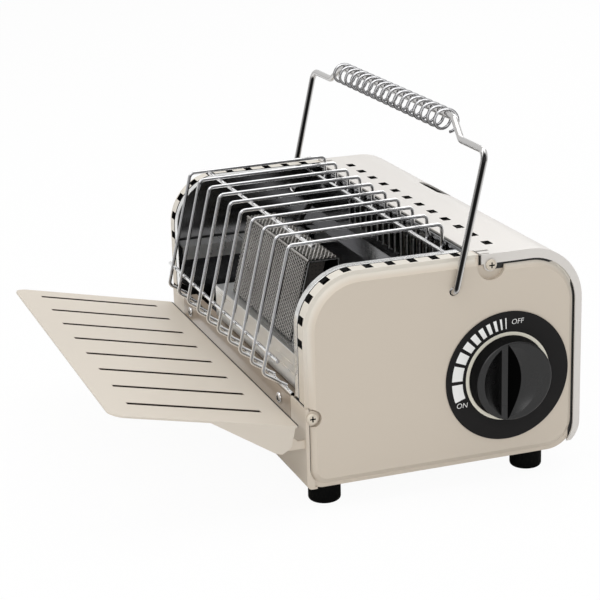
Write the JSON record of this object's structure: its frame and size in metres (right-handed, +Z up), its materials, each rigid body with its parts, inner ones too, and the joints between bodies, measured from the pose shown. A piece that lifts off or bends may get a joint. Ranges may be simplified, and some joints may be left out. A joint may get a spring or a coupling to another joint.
{
  "type": "portable gas heater",
  "caption": "Table-top gas heater: folded sheet housing, wire guard over a mesh-faced burner, slotted front tray, hinged cartridge cover, dial and a wire bail.",
  "frame": {"origin": "middle of the whole footprint at rest, at the height the feet stand on", "axes": "+X along the housing to the dial end, -Y to the tray in front, +Z up"},
  "size_m": [0.289, 0.28, 0.2111],
  "materials": {
    "panel_paint": "satin",
    "rail_paint": "satin",
    "cover_paint": "satin",
    "tray_paint": "satin",
    "bright_steel": "bright rolled sheet",
    "mesh_steel": "heat-dulled mesh",
    "dark_steel": "dull",
    "chrome_wire": "polished",
    "screw_steel": "plated",
    "gas_brass": "turned",
    "cast_alloy": "cast",
    "burner_ceramic": "matte, drilled",
    "dial_black": "matte",
    "knob_black": "glossy",
    "foot_rubber": "matte"
  },
  "bodies": {
    "housing": {"base_pan": "panel_paint", "dial_end_panel": "panel_paint", "plain_end_panel": "panel_paint", "dial_end_liner": "bright_steel", "plain_end_liner": "bright_steel", "front_rail": "rail_paint", "rail_screws": "screw_steel", "pan_corner_screws": "screw_steel", "foot_screws": "screw_steel", "divider_wall": "dark_steel", "floor_reflector": "bright_steel", "burner_ledge": "bright_steel", "ledge_legs": "bright_steel", "side_shelf": "bright_steel", "burner_box": "bright_steel", "ceramic_plaque": "burner_ceramic", "burner_mesh": "mesh_steel", "mixing_tube": "cast_alloy", "gas_jet": "gas_brass", "gas_pipe": "gas_brass", "valve_body": "gas_brass", "regulator": "cast_alloy", "cartridge_collar": "cast_alloy", "collar_bracket": "dark_steel", "cartridge_cradle": "dark_steel", "piezo_igniter": "dial_black", "guard_top_rail": "chrome_wire", "guard_low_rail": "chrome_wire", "guard_foot_rail": "chrome_wire", "guard_rear_rail": "chrome_wire", "dial_ring": "dial_black", "cover_pivot_screws": "screw_steel", "tray_brackets": "dark_steel", "guard_wire_00": "chrome_wire", "guard_wire_01": "chrome_wire", "guard_wire_02": "chrome_wire", "guard_wire_03": "chrome_wire", "guard_wire_04": "chrome_wire", "guard_wire_05": "chrome_wire", "guard_wire_06": "chrome_wire", "guard_wire_07": "chrome_wire", "guard_wire_08": "chrome_wire", "guard_wire_09": "chrome_wire", "foot_0": "foot_rubber", "foot_1": "foot_rubber", "foot_2": "foot_rubber", "foot_3": "foot_rubber"},
    "tray": {"front_tray": "tray_paint", "tray_pins": "dark_steel"},
    "cover": {"cartridge_cover": "cover_paint"},
    "bail": {"handle_bail": "chrome_wire", "handle_grip_spring": "chrome_wire"},
    "knob": {"control_knob": "knob_black", "valve_stem": "gas_brass"}
  },
  "joints": [
    {"name": "tray_hinge", "type": "hinge", "parent": "housing", "child": "tray", "pos_m": [0, -0.04092, 0.047], "axis": [-1, 0, 0], "range_deg": [0, 50]},
    {"name": "cover_hinge", "type": "hinge", "parent": "housing", "child": "cover", "pos_m": [0, 0.08198, 0.1313], "axis": [1, 0, 0], "range_deg": [0, 90]},
    {"name": "bail_hinge", "type": "hinge", "parent": "housing", "child": "bail", "pos_m": [0, 0.05868, 0.1189], "axis": [1, 0, 0], "range_deg": [-70, 74]},
    {"name": "knob_turn", "type": "hinge", "parent": "housing", "child": "knob", "pos_m": [0.1253, 0.09208, 0.0645], "axis": [1, 0, 0], "range_deg": [0, 115]}
  ]
}
